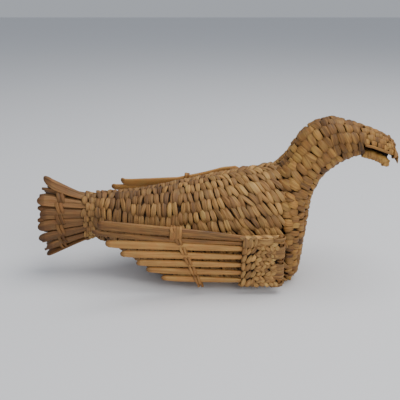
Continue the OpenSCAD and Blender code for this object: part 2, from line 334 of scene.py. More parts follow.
def lining(sheet, depth, name, replaced):
    """A closed two-sided shell behind the weave, depth below the sheet, in painted shade: it shows as the
    dark gaps between the strands.
    """
    k, m = sheet.rows.shape[0], sheet.rows.shape[1] - 1
    u, v = np.meshgrid(np.arange(k, dtype=float), np.arange(m) / m, indexing="ij")
    point, normal, _, _ = sheet.frame(u, v)
    outer = point - normal * depth
    inner = point - normal * (depth + LINING_THICK)
    pile = Pile()
    # one closed tube: out along the outside, back along the inside
    rings = np.concatenate([outer, inner[::-1]])
    pile.tube(rings, 0.35, 0.9, closed=True)
    pile.build(name, PAINTED_SHADE, "bird", "woven_leaf", replaced)


# ---------- materials ----------

def rgb(r, g, b):
    """A linear colour from 0-255 display values."""
    def lin(c):
        c = c / 255
        return c / 12.92 if c <= 0.04045 else ((c + 0.055) / 1.055) ** 2.4
    return (lin(r), lin(g), lin(b), 1.0)


def straw(name, dark, mid, light, streaks=1.0, rough=0.62, painted_tuck_shade=0.55, bump=0.5):
    """Dried leaf: fibre streaks along the strand, each strand its own shade, and painted shade where it
    tucks under.

    It reads the attributes that a Pile writes. dark, mid and light are 0-255 display colours.
    """
    material = bpy.data.materials.new(name)
    material.use_nodes = True
    nodes, links = material.node_tree.nodes, material.node_tree.links
    shader = nodes["Principled BSDF"]

    def attribute(key, output):
        node = nodes.new("ShaderNodeAttribute")
        node.attribute_name = key
        return node.outputs[output]

    def noise(along, across, detail):
        """Noise with so many spots to a metre along a strand and across it."""
        place = nodes.new("ShaderNodeMapping")
        place.inputs["Scale"].default_value = (along, across, 1)
        links.new(grain, place.inputs["Vector"])
        tex = nodes.new("ShaderNodeTexNoise")
        tex.inputs["Scale"].default_value = 1.0
        tex.inputs["Detail"].default_value = detail
        links.new(place.outputs["Vector"], tex.inputs["Vector"])
        return tex.outputs["Fac"]

    def ramp(value, low, low_at, high, high_at):
        """Colours from low, up to the value low_at, to high, from the value high_at."""
        node = nodes.new("ShaderNodeValToRGB")
        ends = node.color_ramp.elements
        ends[0].position, ends[0].color = low_at, low
        ends[1].position, ends[1].color = high_at, high
        links.new(value, node.inputs["Fac"])
        return node

    def multiply(colour):
        """A node that multiplies a colour."""
        node = nodes.new("ShaderNodeMix")
        node.data_type = "RGBA"
        node.blend_type = "MULTIPLY"
        links.new(colour, node.inputs["A"])
        return node

    def maths(op, a, b):
        node = nodes.new("ShaderNodeMath")
        node.operation = op
        for socket, value in zip(node.inputs, (a, b)):
            if isinstance(value, (int, float)):
                socket.default_value = value
            else:
                links.new(value, socket)
        return node.outputs[0]

    grain = attribute("grain", "Vector")
    fibres = noise(70, 1500, 4)
    bands = noise(45, 420, 2)
    blotch = noise(160, 160, 2)
    shade = maths("ADD", attribute("tone", "Fac"),
                  maths("MULTIPLY", maths("SUBTRACT", fibres, 0.5), 0.75 * streaks))
    shade = maths("ADD", shade, maths("MULTIPLY", maths("SUBTRACT", bands, 0.5), 0.65))
    leaf = ramp(shade, rgb(*dark), 0.12, rgb(*light), 0.88)
    leaf.color_ramp.elements.new(0.5).color = rgb(*mid)
    # patches of pinker and of greyer leaf
    patches = ramp(blotch, (1.0, 0.86, 0.80, 1), 0.3, (0.96, 1.0, 1.0, 1), 0.7)
    tint = multiply(leaf.outputs["Color"])
    tint.inputs["Factor"].default_value = 1.0
    links.new(patches.outputs["Color"], tint.inputs["B"])
    # painted shade: darker towards the ends that tuck under
    tuck_shade_node = multiply(tint.outputs["Result"])
    links.new(maths("MULTIPLY", attribute("edge", "Fac"), painted_tuck_shade), tuck_shade_node.inputs["Factor"])
    tuck_shade_node.inputs["B"].default_value = rgb(105, 78, 52)
    links.new(tuck_shade_node.outputs["Result"], shader.inputs["Base Color"])
    rough_map = nodes.new("ShaderNodeMapRange")
    rough_map.inputs["To Min"].default_value = rough - 0.1
    rough_map.inputs["To Max"].default_value = rough + 0.14
    links.new(bands, rough_map.inputs["Value"])
    links.new(rough_map.outputs["Result"], shader.inputs["Roughness"])
    relief = nodes.new("ShaderNodeBump")
    relief.inputs["Strength"].default_value = bump
    relief.inputs["Distance"].default_value = 0.45 * MM
    links.new(maths("ADD", fibres, bands), relief.inputs["Height"])
    links.new(relief.outputs["Normal"], shader.inputs["Normal"])
    shader.inputs["Specular IOR Level"].default_value = 0.35
    return material


WEAVE = straw("woven leaf", (76, 53, 32), (137, 102, 58), (190, 152, 90), painted_tuck_shade=0.7)
NECK = straw("woven leaf, neck", (76, 51, 26), (134, 97, 48), (182, 142, 73), painted_tuck_shade=0.75)
FEATHER = straw("folded leaf", (88, 60, 31), (146, 106, 57), (182, 138, 78), streaks=0.9, rough=0.55,
                painted_tuck_shade=0.6, bump=0.4)
# painted shade: the tail's palette is darker than the feathers', for the tail lying furthest from the light
TAIL = straw("tail leaf", (72, 50, 28), (120, 86, 50), (152, 112, 66), rough=0.6, painted_tuck_shade=0.6)
CORD = straw("twined leaf", (88, 60, 30), (142, 101, 54), (182, 138, 80), streaks=0.9, painted_tuck_shade=0.5)
# painted shade: this dark leaf stands for the shade in the gaps behind the weave, on the stakes and in the
# mouth
PAINTED_SHADE = straw("inner leaf in painted shade", (40, 28, 16), (64, 45, 27), (84, 60, 36), rough=0.85, painted_tuck_shade=0.3)


# ---------- the body's weave ----------

TURN = np.linspace(-math.pi, math.pi, 181)
body_tree = node_tree("body_weave")
body_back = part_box("body_weave")[0][0]
# the seam between body and breast leans back as it rises
SEAM_FOOT_X, SEAM_TOP_X, SEAM_TOP_Z = 58.0 * MM, 49.0 * MM, 96.5 * MM
BODY_PITCH = 2.15 * MM
# spans round one row of a sheet
BODY_SPANS, NECK_SPANS, BEAK_SPANS = 144, 96, 48
TAIL_END_Z, SHOULDER_Z = 52.5 * MM, 45 * MM
LOOSE_BODY = 1.25


def body_rows():
    """Outlines of the body, upright at the tail and leaning with the seam at the shoulder."""
    rows = []
    start, stop = body_back + 0.3 * MM, SEAM_TOP_X + 4 * MM
    count = int((stop - start) / BODY_PITCH)
    for k in range(count + 1):
        share = k / count
        x = start + (stop - start) * share
        slant = (SEAM_FOOT_X - SEAM_TOP_X) / SEAM_TOP_Z * share
        up = Vector((-slant, 0, 1)).normalized()
        middle = TAIL_END_Z + (SHOULDER_Z - TAIL_END_Z) * share
        centre = Vector((x, 0, middle))
        hits = section(body_tree, centre, up, TURN)
        rows.append(evenly(hits, BODY_SPANS))
    return smooth_rows(np.array(rows))


body_sheet = Sheet(body_rows()[:, ::-1])
BODY_ROWS = len(body_sheet.rows)
# stakes are added as the body widens: first and last row as shares of the body, stakes, lightness; the
# lightness falls towards the tail as painted shade
BODY_ZONES = ((0, 0.2, 14, 0.38), (0.2, 0.45, 20, 0.44), (0.45, 1, 28, 0.56))
# stitches stand upright as far as LEAN_FROM of the body, and come to lean over the next LEAN_OVER
LEAN, LEAN_FROM, LEAN_OVER = 0.5, 0.42, 0.35
body_piles = [Pile() for _ in range(3)]
for start, stop, columns, shade in BODY_ZONES:

    def body_angle(k, j, columns=columns):
        """Stitches stand upright at the tail and lean forward at their feet towards the breast."""
        side = 1 if j >= columns / 2 else -1
        share = min(1, max(0, (k - LEAN_FROM * BODY_ROWS) / (LEAN_OVER * BODY_ROWS)))
        return side * LEAN * share

    rows = (round(start * BODY_ROWS), round(stop * BODY_ROWS))
    weave(body_piles, body_sheet, columns, angle_at=body_angle, rows=rows, shade=shade, loose=LOOSE_BODY)
# more stitches carry the back on, under the foot of the neck
for v0 in np.arange(0.38, 0.63, 0.035):
    for extra in (-0.2, 1.1, 2.4):
        lean = LEAN * np.sign(v0 - 0.5) + rng.normal(0, 0.1)
        stitch(body_piles[0], body_sheet, BODY_ROWS - 1 + extra, v0, length=8 * MM, width=4.6 * MM,
               angle=lean, lift=-0.3 * MM, dive=2.1 * MM, tone=rng.uniform(0.45, 0.6))
for i, pile in enumerate(body_piles):
    pile.build(f"body_weft_{i + 1}", WEAVE, "bird", "woven_leaf")
LINING_DEPTH = 1.7 * MM
lining(body_sheet, LINING_DEPTH, "body_lining", "body_weave")


# ---------- the breast, neck and head ----------

NECK_COLUMNS = 12
# back and breast ends of the weave's rows, (x, z) in mm, from the foot of the breast to the mouth
NECK_LINES = np.array([
    [57.9, 2, 68.3, 3], [55.9, 24, 71.6, 23], [53.8, 47, 74.8, 45], [51.8, 68, 76.4, 60],
    [49.8, 88, 78, 71.5], [54.4, 101, 80.6, 79], [61, 110.5, 84.5, 86], [68, 121.8, 92.5, 94.2],
    [78, 131.2, 100.3, 100], [90, 134.2, 107.5, 103.3], [102, 132.6, 113, 105.6],
    [114.3, 130.2, 117.9, 106.6]])
ABOVE_SEAM = 6 * MM
# height of a row in mm at shares of the way from the breast's foot to the mouth
NECK_PITCHES = ([0, 0.42, 0.55, 0.7, 0.82, 1], [2.7, 2.8, 2.8, 2.9, 2.6, 2.4])
NECK_PITCH = 2.8 * MM
neck_tree = node_tree("neck_weave")


def smooth_line(rows, per_span):
    """Catmull-Rom through the rows."""
    out = []
    last = len(rows) - 1
    for i in range(last):
        a, b, c, d = rows[max(i - 1, 0)], rows[i], rows[i + 1], rows[min(i + 2, last)]
        for t in np.arange(per_span) / per_span:
            out.append(0.5 * (2 * b + (c - a) * t + (2 * a - 5 * b + 4 * c - d) * t * t
                              + (3 * b - a - 3 * c + d) * t ** 3))
    out.append(rows[-1])
    return np.array(out)


def before_seam(point):
    """Whether a point lies on the breast's side of the seam."""
    seam_x = SEAM_FOOT_X - (SEAM_FOOT_X - SEAM_TOP_X) * point.z / SEAM_TOP_Z
    return point.x > seam_x - 0.6 * MM


def neck_rows():
    """Outlines from the breast's foot to the mouth, and the first one that closes above the seam."""
    fine = smooth_line(NECK_LINES, 24) * MM
    middle = (fine[:, :2] + fine[:, 2:]) / 2
    run = np.concatenate([[0], np.cumsum(np.linalg.norm(np.diff(middle, axis=0), axis=1))])
    places, at = [], 0.0
    while at < run[-1]:
        places.append(at)
        at += np.interp(at / run[-1], *NECK_PITCHES) * MM
    rows = []
    seam_row = None
    for at in places:
        bx, bz, fx, fz = (np.interp(at, run, fine[:, k]) for k in range(4))
        back, front = Vector((bx, 0, bz)), Vector((fx, 0, fz))
        centre = back * 0.5 + front * 0.5
        towards_back = (back - front).normalized()
        hits = section(neck_tree, centre, towards_back, TURN, 70 * MM)
        kept = [hit for hit in hits if before_seam(hit)]
        # start at the seam or at the back, and run round by the breast
        order = sorted(kept, key=lambda h: math.atan2(h.y, -(h - centre).dot(towards_back)))
        rows.append(evenly(order, NECK_SPANS))
        if seam_row is None and bz > SEAM_TOP_Z + ABOVE_SEAM:
            seam_row = len(rows) - 1
    return smooth_rows(np.array(rows), 1), seam_row


neck_grid, NECK_SEAM_ROW = neck_rows()
neck_sheet = Sheet(neck_grid, wraps_from=NECK_SEAM_ROW)
neck_piles = [Pile() for _ in range(2)]
weave(neck_piles, neck_sheet, NECK_COLUMNS, rows=(0, NECK_SEAM_ROW), full=1.9, loose=0.8, taper=0.45,
      pitch=NECK_PITCH)
HEAD_ROW = NECK_SEAM_ROW + (len(neck_sheet.rows) - NECK_SEAM_ROW) // 2
for rows, shade in (((NECK_SEAM_ROW, HEAD_ROW), 0.58), ((HEAD_ROW, len(neck_sheet.rows)), 0.4)):
    weave(neck_piles, neck_sheet, NECK_COLUMNS, rows=rows, full=2.12, loose=0.6, taper=0.5, dive=1.7 * MM,
          shade=shade, pitch=NECK_PITCH)
# short stitches pack the fork above the seam
for v0 in (0.03, 0.1, 0.9, 0.97):
    for u0 in np.arange(NECK_SEAM_ROW - 1.2, NECK_SEAM_ROW + 0.6, 0.4):
        stitch(neck_piles[0], neck_sheet, u0, v0, length=7.5 * MM, width=4.4 * MM, angle=rng.normal(0, 0.2),
               lift=0.1 * MM, dive=1.7 * MM, tone=rng.uniform(0.45, 0.6))
for i, pile in enumerate(neck_piles):
    pile.build(f"neck_weft_{i + 1}", NECK, "bird", "woven_leaf")
lining(neck_sheet, LINING_DEPTH, "neck_lining", "neck_weave")


# ---------- the beak ----------

# stations of the upper beak, mm: x at the lip, height of the lip, half width
LIP = np.array([[116.4, 113.9, 14.8], [123, 112.2, 13.8], [131, 109.2, 12.4], [137.5, 106.6, 10.6],
                [142, 104.6, 8], [145.2, 101.5, 4.5]])
# how far the arch at each station leans back, over a rise of ARCH_RISE
UPPER_LEAN = np.array([2.4, 1.8, 1, 0, 0, 0])
ARCH_RISE = 14
# x of the first and last rows, and the jaw's middle line, x then z, mm
BEAK_ENDS, JAW_ENDS = (116.6, 144.6), (117.6, 138.0)
JAW_LINE = ([117.2, 136, 138.6], [107.4, 99.9, 99.0])
JAW_DEEPER, JAW_RAISED = 1.3, 0.7 * MM
BEAK_ROWS = 12
BEAK_COLUMNS = 8


def beak_rows():
    """The upper beak's arches, open below."""
    tree = node_tree("upper_beak")
    rows = []
    for x in np.linspace(*BEAK_ENDS, BEAK_ROWS):
        lip = np.interp(x, LIP[:, 0], LIP[:, 1])
        lean = np.interp(x, LIP[:, 0], UPPER_LEAN)
        up = Vector((-lean, 0, ARCH_RISE)).normalized()
        centre = Vector((x, 0, lip + 1.2)) * MM
        hits = section(tree, centre, up, np.linspace(-1.5, 1.5, 61), 40 * MM)
        rows.append(evenly(hits, BEAK_SPANS))
    return smooth_rows(np.array(rows), 1)


def jaw_rows():
    """Closed outlines of the jaw, made a little deeper than its CAD solid."""
    tree = node_tree("lower_beak")
    rows = []
    for x in np.linspace(*JAW_ENDS, BEAK_ROWS):
        centre = Vector((x, 0, np.interp(x, *JAW_LINE))) * MM
        hits = section(tree, centre, Vector((0, 0, 1)), TURN, 40 * MM)
        row = evenly(hits, BEAK_SPANS)
        row[:, 2] = centre.z + (row[:, 2] - centre.z) * JAW_DEEPER + JAW_RAISED
        rows.append(row)
    return np.array(rows)


upper_sheet = Sheet(beak_rows(), outward=(0, 0, 1), wraps_from=math.inf)
jaw_sheet = Sheet(jaw_rows(), outward=(0, 0, 1))
beak_pile = Pile()
weave([beak_pile], upper_sheet, BEAK_COLUMNS, dive=1.4 * MM, thick=0.85 * MM, full=2.1, loose=0.6,
      taper=0.5)
# leaf ends turned back over the tip: place across, row and angle
TURNED_ENDS = ((0.38, 9.6, 1.2), (0.5, 10.0, 1.45), (0.62, 9.7, -1.2), (0.5, 9.2, 0.2), (0.44, 8.6, -0.3))
for v0, u0, angle in TURNED_ENDS:
    stitch(beak_pile, upper_sheet, u0, v0, length=7.5 * MM, width=3.4 * MM, angle=angle, lift=1.9 * MM,
           dive=1.0 * MM, tone=rng.uniform(0.4, 0.6), thick=0.9 * MM)
beak_pile.build("upper_beak_weft", NECK, "bird", "woven_leaf")
lining(upper_sheet, 1.2 * MM, "upper_beak_lining", "upper_beak")
jaw_pile = Pile()
# the jaw's strands are painted lighter than the rest, painted light against the shade the upper beak casts
# on it
weave([jaw_pile], jaw_sheet, BEAK_COLUMNS, dive=0.8 * MM, thick=0.8 * MM, full=2.1, loose=0.2, taper=0.5,
      shade=0.72)
jaw_pile.build("lower_beak_weft", NECK, "bird", "woven_leaf")
lining(jaw_sheet, 0.6 * MM, "lower_beak_core", "lower_beak")


LIP_STATIONS = 24
lip_pile = Pile()
for side in (-1, 1):
    # a strip along each side of the upper lip, just above its edge
    x = np.linspace(116.2, 144, LIP_STATIONS)
    z = np.interp(x, LIP[:, 0], LIP[:, 1]) + 2.4
    y = side * (np.interp(x, LIP[:, 0], LIP[:, 2]) * 0.99 + 0.4)
    line = xyz(x, y, z) * MM
    facing = unit(np.array([0, side, 0.25]))
    taper = np.interp(np.linspace(0, 1, LIP_STATIONS), [0, 0.1, 0.8, 1], [0.6, 1, 0.9, 0.4])
    rings = strand_rings(line, facing, half_w=1.15 * MM * taper, half_t=0.8 * MM, ridges=0.1, phase=1.0)
    lip_pile.tube(rings, tone=0.5, edge=0.0)
lip_pile.build("lip_strips", NECK, "bird", "twined_cord", "mouth_binding")

# a dark sheet stands on edge inside the mouth, from the upper beak down to the jaw: painted shade for the
# mouth's hollow
mouth_pile = Pile()
mouth_line = np.linspace([116.5, 0, 110.4], [139, 0, 102.6], 12) * MM
rings = strand_rings(mouth_line, (0, 1, 0), half_w=4.2 * MM, half_t=0.6 * MM, ridges=0.1, flat=0.4)
mouth_pile.tube(rings, tone=0.0, edge=1.0)
mouth_pile.build("mouth_painted_shade", PAINTED_SHADE, "bird", "woven_leaf")


# ---------- folded leaves ----------

# a CAD leaf's rings stand further apart than this, and a plain one has so many corners
RING_GAP, RING_CORNERS = 0.8 * MM, 10


def leaf_stations(name, along, out):
    """Centre, half width and half thickness vectors along a CAD leaf, read off its own rings."""
    points = node_points(name)
    run = points @ along
    order = np.argsort(run)
    points, run = points[order], run[order]
    groups = np.split(points, np.flatnonzero(np.diff(run) > RING_GAP) + 1)
    rows = []
    for ring in groups:
        ring = np.unique(np.round(ring, 6), axis=0)
        middle = (ring.max(axis=0) + ring.min(axis=0)) / 2
        middle = ring.mean(axis=0) if len(ring) == RING_CORNERS else middle
        axes = np.linalg.svd(ring - middle)[2]
        thick = axes[1] if axes[1] @ out > 0 else -axes[1]
        wide = np.cross(thick, along)
        wide = axes[0] * np.sign(axes[0] @ wide)
        reach = np.abs((ring - middle) @ np.stack([wide, thick]).T).max(axis=0)
        rows.append(np.concatenate([middle, wide * reach[0], thick * reach[1]]))
    return np.array(rows)


LEAF_W = np.linspace(1, -1, 17)


def leaf_profile(step_at, step):
    """Outline of a flat folded leaf, half sizes 1: ribbed faces, and a lower layer showing past step_at."""
    w = np.sort(np.concatenate([LEAF_W, [step_at - 0.03, step_at + 0.03]]))[::-1]
    full = (1 - np.abs(w) ** 2.6) ** 0.5
    outer = full * (0.92 + 0.07 * np.cos(w * 5 * math.pi))
    outer = np.where(w > step_at, outer - step * full, outer)
    inner_w = LEAF_W[::-1][1:-1]
    inner = -(1 - np.abs(inner_w) ** 2.6) ** 0.5
    return np.concatenate([w, inner_w]), np.concatenate([outer, inner])


def folded_leaf(pile, name, along, out, step_at, step, plump, tone, part=(0, 1), rise=None, twist=0.0,
                round_off=3.4, shorten=0.0):
    """A leaf folded flat lengthwise, its far end rounded.

    step_at and step place the edge of the upper layer and how far the lower one lies beneath it, and plump
    thickens the CAD leaf. part is the middle and half width of the stretch across the CAD leaf that this
    leaf fills. rise is how far it stands above the CAD leaf, in mm, at even steps from its root to its tip,
    and twist turns the tip about the leaf's run. The last round_off mm are rounded, and the leaf is cut
    shorten mm before the CAD leaf's end.
    """
    along, out = np.asarray(along, dtype=float), np.asarray(out, dtype=float)
    rows = smooth_line(leaf_stations(name, along, out), 6)
    rows = rows[rows[:, :3] @ along < rows[-1, :3] @ along - shorten * MM + 1e-9]
    middle, wide, thick = rows[:, :3], rows[:, 3:6], rows[:, 6:9] * plump
    middle = middle + wide * part[0]
    wide = wide * part[1]
    share = np.linspace(0, 1, len(rows))
    wave = np.sin(share * rng.uniform(5, 9) + rng.uniform(0, 6))
    middle = middle + unit(wide) * (wave * 0.35 * MM * share)[:, None]
    if rise:
        middle[:, 2] += np.interp(share, np.linspace(0, 1, len(rise)), rise) * MM
    swing = (twist * share)[:, None]
    half_w, half_t = (np.linalg.norm(half, axis=1, keepdims=True) for half in (wide, thick))
    wide, thick = unit(wide), unit(thick)
    wide, thick = (half_w * (wide * np.cos(swing) + thick * np.sin(swing)),
                   half_t * (thick * np.cos(swing) - wide * np.sin(swing)))
    w, t = leaf_profile(step_at, step)
    rings = middle[:, None] + wide[:, None] * w[None, :, None] + thick[:, None] * t[None, :, None]
    # the tip rounds off over its last few millimetres
    kept = np.linalg.norm(middle - middle[-1], axis=1) > round_off * MM
    tip = rings[kept][-1] - middle[kept][-1]
    onward = unit(middle[-1] - middle[kept][-1])
    bends = np.radians([8, 24, 40, 54, 66, 77, 86])
    dome = [middle[-1] + onward * (math.sin(bend) - 1) * round_off * MM + tip * math.cos(bend) ** 0.9
            for bend in bends]
    rings = np.concatenate([rings[kept], np.array(dome)])
    # painted shade: darker over the last tenth, and darkest at the tip
    edge = np.concatenate([0.4 * np.clip((share[kept] - 0.9) / 0.1, 0, 1),
                           np.linspace(0.5, 1.5, len(bends))])
    pile.tube(rings, random_tone(tone, 0.09), edge)


# ---------- the tail ----------

TAIL_LEAVES = 14
TAIL_TONE = 0.46
# the tail flares from an oval at its root: half sizes there and how much they grow, along y and up, mm
TAIL_AXIS_Z, TAIL_DROP = 52.5, 5
TAIL_ROOT_X, TAIL_RUN = -97, 48.3
TAIL_ROOT, TAIL_GROWS = (12.9, 15.9), (2.1, 15.1)
# leaves bunch towards the tail's two sides by up to this angle
TAIL_BUNCH = math.radians(7)
tail_pile = Pile()
for i in range(1, TAIL_LEAVES + 1):
    turn = math.radians((0.5 - i) * 360 / TAIL_LEAVES)
    out = (0, math.sin(turn), math.cos(turn))
    # the lowest two hang turned outwards
    twist = 1.3 * np.sign(math.sin(turn)) if math.cos(turn) < -0.9 else rng.uniform(-0.2, 0.2)
    folded_leaf(tail_pile, f"tail_leaf_{i}", (-1, 0, 0), out, step_at=rng.uniform(-0.5, 0.5), step=0.5,
                plump=1.3, twist=twist, tone=TAIL_TONE, round_off=rng.uniform(5.0, 8.0))


def tail_oval(x, grow, turn, shift=0.0):
    """Points round the tail at x, grow outside the leaves' middles and moved on by shift; mm."""
    flare = np.maximum(0.0, (TAIL_ROOT_X - np.asarray(x, dtype=float)) / TAIL_RUN) ** 1.1
    half_y, half_z = (root + more * flare + grow for root, more in zip(TAIL_ROOT, TAIL_GROWS))
    spread = turn + TAIL_BUNCH * np.sin(2 * turn)
    middle_z = TAIL_AXIS_Z - TAIL_DROP * flare
    return xyz(x + shift, half_y * np.sin(spread), middle_z + half_z * np.cos(spread)) * MM


INNER_STATIONS = 14
for i in range(TAIL_LEAVES):
    # shorter leaves between and inside the others
    turn = 2 * math.pi * i / TAIL_LEAVES
    x = np.linspace(-96, -rng.uniform(141, 146), INNER_STATIONS)
    line = tail_oval(x, -2.2, np.full(INNER_STATIONS, turn))
    facing = unit(line * (0, 1, 1) - np.array([0, 0, TAIL_AXIS_Z * MM]))
    from_tip = x - x[-1]
    half_w = np.interp(from_tip, [0, 1.5, 5, 22, 46], [1.2, 2.6, 4.0, 3.6, 2.0]) * MM
    rings = strand_rings(line, facing, half_w, half_t=1.0 * MM, ridges=0.15, phase=rng.uniform(0, 6))
    # painted shade, darker towards each inner leaf's tip
    tail_pile.tube(rings, TAIL_TONE, np.interp(from_tip, [0, 5], [0.8, 0.1]))
tail_pile.build("tail_folded_leaves", TAIL, "bird", "folded_leaf",
                *[f"tail_leaf_{i}" for i in range(1, TAIL_LEAVES + 1)])


def twined_ring(pile, x, half_w, swing, tone):
    """Two strands twined round the tail, crossing between one leaf and the next."""
    turn = full_turn(TAIL_LEAVES * 12)
    wave = TAIL_LEAVES / 2 * turn + math.pi / 2
    for side in (1, -1):
        grow = 0.2 + side * swing * signed_power(np.sin(wave), 0.7)
        line = tail_oval(x, grow, turn, side * half_w * 0.8 * np.cos(wave))
        out = (line - np.array([x, 0, TAIL_AXIS_Z]) * MM) * (0, 1, 1)
        rings = strand_rings(line, unit(out), half_w * MM, 0.6 * MM, closed=True)
        # painted shade: a strand darkens where it passes behind a leaf
        pile.tube(rings, tone + side * 0.08, 0.5 - 0.5 * side * np.sin(wave), closed=True)


twining_pile = Pile()
for x in (-125.2, -128.3):
    twined_ring(twining_pile, x, half_w=1.45, swing=1.5, tone=0.3)
twining_pile.build("tail_twined_row", CORD, "bird", "twined_cord", "tail_twining")

turns = np.linspace(-math.pi, math.pi, 145)
root_rows = [tail_oval(x, 1.8, turns) for x in np.arange(-106.5, -93.5, 2.1)]
root_sheet = Sheet(root_rows[::-1], outward=(0, 0, 1))
root_pile = Pile()
weave([root_pile], root_sheet, 20, dive=1.0 * MM, thick=0.8 * MM, taper=0.5, shade=0.5)
root_pile.build("tail_root_rows", WEAVE, "bird", "twined_cord", "tail_root_wrap")


# ---------- the wings ----------

# each wing's side, its hinge's foot, mm, and lean, degrees; where its twining starts and ends, (x, z);
# and the turns of leaf that bind its top feather
WINGS = {
    "right": dict(side=-1, hinge=(50.5, -39, 7.5), lean=-4, top=(-85, 55.2), foot=(-63, 1.5),
                  binding=dict(places=(-85.2, -82.9, -80.5, -78.2), z_low=43.0, z_high=52.4, half_t=2.3)),
    "left": dict(side=1, hinge=(46, 43.5, 38.5), lean=10, top=(-70, 37.0), foot=(-60, -4),
                 binding=dict(places=(-71.4, -69.2), z_low=30.4, z_high=37.6, half_t=2.4)),
}
FLARE = 2
FEATHERS = 6
LASHINGS = (6, 22.5, 39)
# the patch's weave; it runs on past the front of its CAD solid, up to the stake
PATCH = dict(back=-31.0, front=-1.0, top=43.5, half_t=2.3)
PATCH_ROWS, PATCH_STATIONS = 15, 28
LEANING_ROWS, LEANING_FOOT, LEANING_PITCH = 12, 1.8, 3.3
FEATHER_PITCH, LOWEST_FEATHER = 7.15, 4
# stitches over a feather's root, and over the top one's: x, height above the feather's middle, length,
# width, angle, lift
ROOT_STITCHES = ((-28.6, 0.4, 8.6, 3.4, 1.35, 0.8), (-25.0, -0.6, 8.4, 3.6, 1.1, 0.6),
                 (-21.6, 0.6, 8.0, 3.4, 1.0, 0.5))
TOP_ROOT_STITCHES = ((-28.4, -1.0, 9.4, 5.0, 1.5, 1.0), (-24.2, -1.0, 9.4, 4.6, 1.5, 1.0),
                     (-20.4, -0.5, 8.6, 3.6, 1.3, 0.7))
# the far wing's top leaves bow up at the front, dip at their binding and lie close together
LEFT_RISE = {6: (1.0, 4.6, 3.4, -1.8, -5.4, -4.5, -2.7, -0.4, 1.4), 5: (0, 0, -1.0, -2.6, -0.6, 2.2, 3.9)}


def turn_about_x(angle):
    c, s = math.cos(angle), math.sin(angle)
    return np.array([[1, 0, 0], [0, c, -s], [0, s, c]])


class WingSpace:
    """A wing's own axes, about its hinge stake: x forward, y to the bird's left, z up the stake; mm."""

    def __init__(self, side, hinge, lean, **rest):
        swing = math.radians(-side * FLARE)
        c, s = math.cos(swing), math.sin(swing)
        about_z = np.array([[c, -s, 0], [s, c, 0], [0, 0, 1]])
        self.turn = turn_about_x(math.radians(side * lean)) @ about_z
        self.hinge = np.array(hinge)

    def place(self, points):
        return (np.asarray(points, dtype=float) @ self.turn.T + self.hinge) * MM

    def aim(self, direction):
        return self.turn @ np.asarray(direction, dtype=float)


def by_lashing(z, gap):
    return min(abs(z - lashing) for lashing in LASHINGS) < gap


def patch_weave(pile, space, side):
    """Both faces of the woven patch: stitches over the feathers' roots, then rows that lean to and fro."""
    back, front, top = PATCH["back"], PATCH["front"], PATCH["top"]
    x = np.linspace(back, front, PATCH_STATIONS)
    wide, tall = front - back, top / PATCH_ROWS
    for face in (side, -side):
        rows = [space.place(xyz(x, face * PATCH["half_t"], z))
                for z in np.arange(PATCH_ROWS + 1) / PATCH_ROWS * top]
        sheet = Sheet(rows, outward=space.aim((0, face, 0)), wraps_from=math.inf)
        flipped = np.linalg.norm(sheet.rows[0, 0] - rows[0][0]) > 1e-6

        def put(px, pz, length, width, angle, lift):
            """One stitch at px, pz of the patch; mm and radians. Those on the inner face lie low."""
            v = (px - back) / wide
            tone = random_tone(0.62, 0.1)
            if flipped:
                v, angle = 1 - v, -angle
            lift = lift if face == side else -0.6
            stitch(pile, sheet, pz / tall, v, length * MM, width * MM, angle, lift * MM, dive=1.1 * MM,
                   tone=tone, thick=0.9 * MM)

        for i in range(FEATHERS):
            is_top = i == FEATHERS - 1
            for px, above, length, width, angle, lift in TOP_ROOT_STITCHES if is_top else ROOT_STITCHES:
                stray = 0 if is_top else rng.uniform(-0.2, 0.2)
                put(px, LOWEST_FEATHER + i * FEATHER_PITCH + above, length, width, angle + stray, lift)
        for row in range(LEANING_ROWS):
            lean, shift = (0.7, 1.0) if row % 2 else (-0.7, 0.0)
            height = LEANING_FOOT + row * LEANING_PITCH
            for j in range(4 if by_lashing(height, 3.4) else 5):
                px = -17.8 + j * 3.8 + shift + rng.uniform(-0.5, 0.5)
                put(px, height, rng.uniform(5.6, 7.0), rng.uniform(2.6, 3.8),
                    lean + rng.uniform(-0.35, 0.35), rng.uniform(0.1, 1.0))
        # one broad stitch along the top
        put(-12.2, top - 2.2, 14.5, 5.6, rng.uniform(-0.04, 0.04), 1.2)


HINGE_WRAP_RADIUS = 3.1


